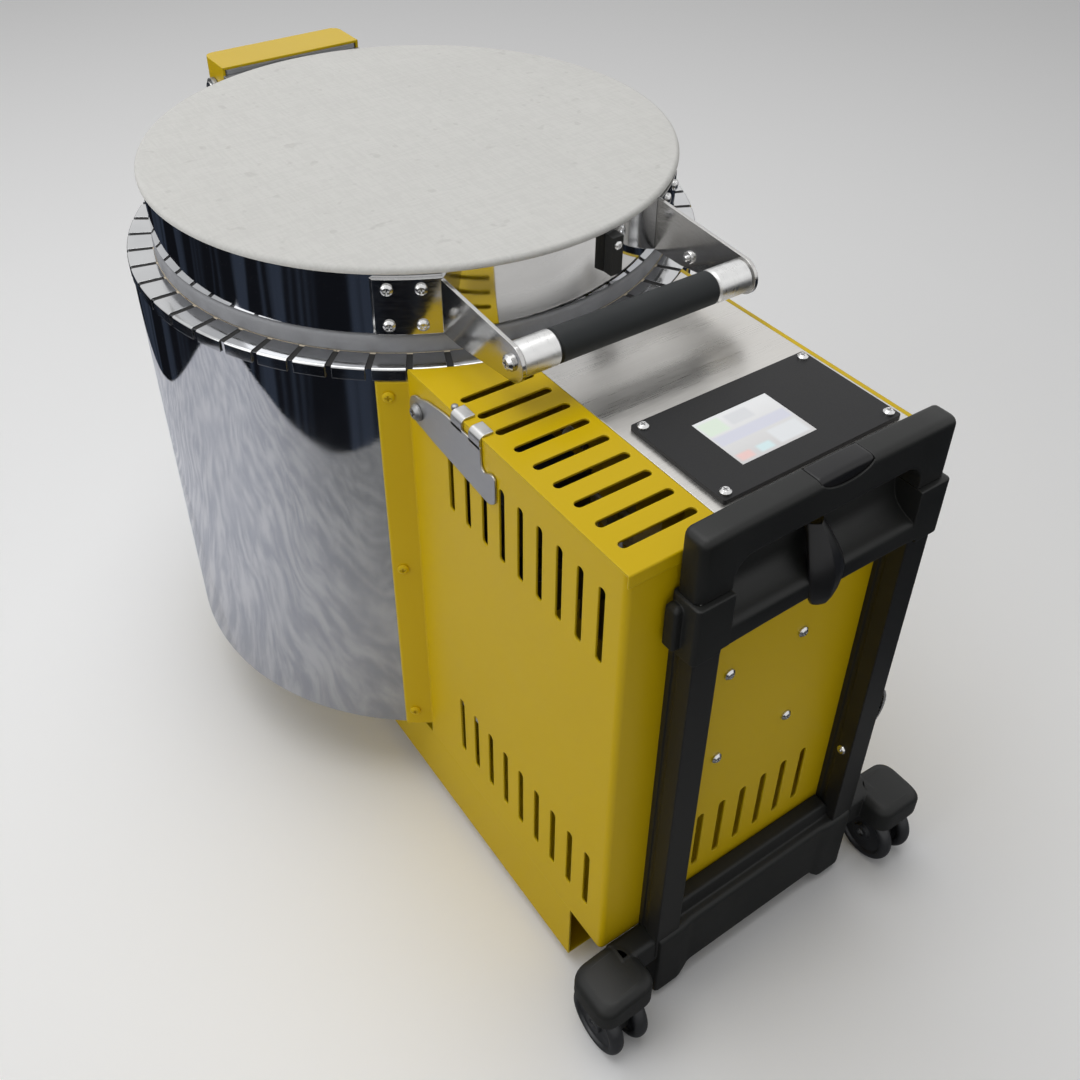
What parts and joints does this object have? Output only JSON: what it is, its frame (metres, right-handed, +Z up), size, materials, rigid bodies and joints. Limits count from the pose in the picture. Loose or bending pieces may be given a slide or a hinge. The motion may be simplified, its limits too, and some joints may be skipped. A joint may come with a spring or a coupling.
{
  "type": "top-loading kiln on a wheeled trolley",
  "caption": "Round top-loading electric kiln with a hinged lid, a side switch box with a touch panel, and a telescoping luggage-style trolley.",
  "frame": {"origin": "centre of the bounding box on the floor", "axes": "+Z up; -Y towards the trolley and its casters, +Y towards the lid hinge; the prop lever is on the -X side"},
  "size_m": [0.4322, 0.699, 0.4938],
  "materials": {
    "yellow_paint": "deep yellow powder coat, semi-gloss",
    "mirror_steel": "mirror-finished stainless sheet",
    "brushed_steel": "brushed stainless sheet",
    "bright_screw": "bright zinc-plated and stainless fasteners",
    "black_plastic": "black moulded plastic, fine texture",
    "button_plastic": "black moulded plastic, smoother",
    "black_tube": "black coated tube, satin",
    "grip_rubber": "black rubber sleeve",
    "tube_alloy": "turned aluminium",
    "slide_alloy": "grey anodised tube",
    "fibre_board": "off-white ceramic fibre board",
    "fibre_gasket": "white fibre gasket",
    "firebrick": "soft insulating firebrick, porous",
    "porcelain": "white porcelain",
    "element_wire": "oxidised resistance wire",
    "screen_glass": "lit touch screen under clear glass",
    "face_black": "matt black faceplate",
    "board_green": "green circuit board",
    "relay_black": "moulded relay case",
    "core_steel": "laminated transformer core",
    "terminal_white": "white terminal strip",
    "hinge_steel": "grey steel",
    "wheel_rubber": "hard black caster wheel"
  },
  "bodies": {
    "kiln": {"base_tray": "yellow_paint", "rear_feet": "wheel_rubber", "drum_spacers": "porcelain", "bottom_pan": "brushed_steel", "hearth_slab": "firebrick", "wall_bricks": "firebrick", "heating_elements": "element_wire", "lead_bushes": "porcelain", "thermocouple": "porcelain", "jacket": "mirror_steel", "tab_ring": "mirror_steel", "rim_gasket": "fibre_gasket", "box_shell": "yellow_paint", "box_floor": "yellow_paint", "top_cover": "yellow_paint", "control_panel": "brushed_steel", "faceplate": "face_black", "touch_screen": "screen_glass", "faceplate_screws": "bright_screw", "circuit_board": "board_green", "relays": "relay_black", "transformer": "core_steel", "terminal_block": "terminal_white", "heat_shield": "mirror_steel", "cord_gland": "black_plastic", "flange_rivets": "yellow_paint", "front_screws": "bright_screw", "lever_bolt": "bright_screw", "hinge_bracket": "hinge_steel", "hinge_springs": "hinge_steel", "rail_left": "black_tube", "rail_right": "black_tube", "cross_bracket": "black_plastic", "lock_boss": "button_plastic", "crossbar": "black_plastic", "cord_hook": "bright_screw"},
    "lid": {"lid_band": "mirror_steel", "lid_board": "fibre_board", "hinge_saddle": "hinge_steel", "hinge_cover": "yellow_paint", "hinge_rod": "bright_screw", "handle_arm_left": "brushed_steel", "handle_arm_right": "brushed_steel", "handle_tube": "tube_alloy", "handle_grip": "grip_rubber", "lid_screws": "bright_screw", "lid_tab": "black_plastic"},
    "lever": {"prop_lever": "brushed_steel"},
    "slide_tubes": {"middle_tubes": "slide_alloy"},
    "trolley_handle": {"grip_head": "black_plastic"},
    "button": {"release_button": "button_plastic"},
    "caster_left": {"caster_hub_left": "black_plastic", "caster_axle_left": "bright_screw"},
    "wheel_left_a": {"caster_wheel_left_a": "wheel_rubber"},
    "wheel_left_b": {"caster_wheel_left_b": "wheel_rubber"},
    "caster_right": {"caster_hub_right": "black_plastic", "caster_axle_right": "bright_screw"},
    "wheel_right_a": {"caster_wheel_right_a": "wheel_rubber"},
    "wheel_right_b": {"caster_wheel_right_b": "wheel_rubber"}
  },
  "joints": [
    {"name": "lid_hinge", "type": "hinge", "parent": "kiln", "child": "lid", "pos_m": [0, 0.3305, 0.4693], "axis": [-1, 0, 0], "range_deg": [0, 100]},
    {"name": "lever_pivot", "type": "hinge", "parent": "kiln", "child": "lever", "pos_m": [-0.114, -0.09441, 0.4065], "axis": [-1, 0, 0], "range_deg": [0, 80]},
    {"name": "handle_lower_slide", "type": "slide", "parent": "kiln", "child": "slide_tubes", "axis": [0, 0, 1], "range_m": [0, 0.23]},
    {"name": "handle_upper_slide", "type": "slide", "parent": "slide_tubes", "child": "trolley_handle", "axis": [0, 0, 1], "range_m": [0, 0.23]},
    {"name": "button_press", "type": "slide", "parent": "trolley_handle", "child": "button", "axis": [0, 0, -1], "range_m": [0, 0.004], "stiffness_N_per_m": 800},
    {"name": "caster_left_swivel", "type": "hinge", "parent": "kiln", "child": "caster_left", "pos_m": [-0.117, -0.3185, 0.06], "axis": [0, 0, 1], "continuous": true},
    {"name": "wheel_left_a_spin", "type": "hinge", "parent": "caster_left", "child": "wheel_left_a", "pos_m": [-0.1275, -0.3245, 0.025], "axis": [1, 0, 0], "continuous": true},
    {"name": "wheel_left_b_spin", "type": "hinge", "parent": "caster_left", "child": "wheel_left_b", "pos_m": [-0.1065, -0.3245, 0.025], "axis": [1, 0, 0], "continuous": true},
    {"name": "caster_right_swivel", "type": "hinge", "parent": "kiln", "child": "caster_right", "pos_m": [0.151, -0.3185, 0.06], "axis": [0, 0, 1], "continuous": true},
    {"name": "wheel_right_a_spin", "type": "hinge", "parent": "caster_right", "child": "wheel_right_a", "pos_m": [0.1405, -0.3245, 0.025], "axis": [1, 0, 0], "continuous": true},
    {"name": "wheel_right_b_spin", "type": "hinge", "parent": "caster_right", "child": "wheel_right_b", "pos_m": [0.1615, -0.3245, 0.025], "axis": [1, 0, 0], "continuous": true}
  ]
}
